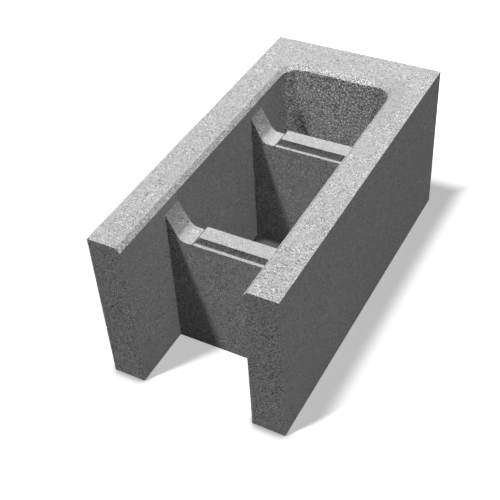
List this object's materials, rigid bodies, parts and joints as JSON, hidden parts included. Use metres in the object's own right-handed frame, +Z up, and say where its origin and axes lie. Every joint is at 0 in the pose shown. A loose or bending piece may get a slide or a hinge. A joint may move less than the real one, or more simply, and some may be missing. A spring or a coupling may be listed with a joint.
{
  "type": "concrete formwork block",
  "caption": "Hollow concrete formwork block, open at one end, that is laid dry, reinforced over its lowered webs and filled with concrete.",
  "frame": {"origin": "centre of the block's outline on its resting face", "axes": "+X across the wall's thickness, +Y along the wall towards the closed end, +Z up"},
  "size_m": [0.25, 0.5, 0.23],
  "materials": {
    "concrete": "dry vibro-pressed concrete, matt, fine sandy grain with small pores and crisp arrises"
  },
  "bodies": {
    "root": {"formwork_block": "concrete"}
  },
  "joints": []
}
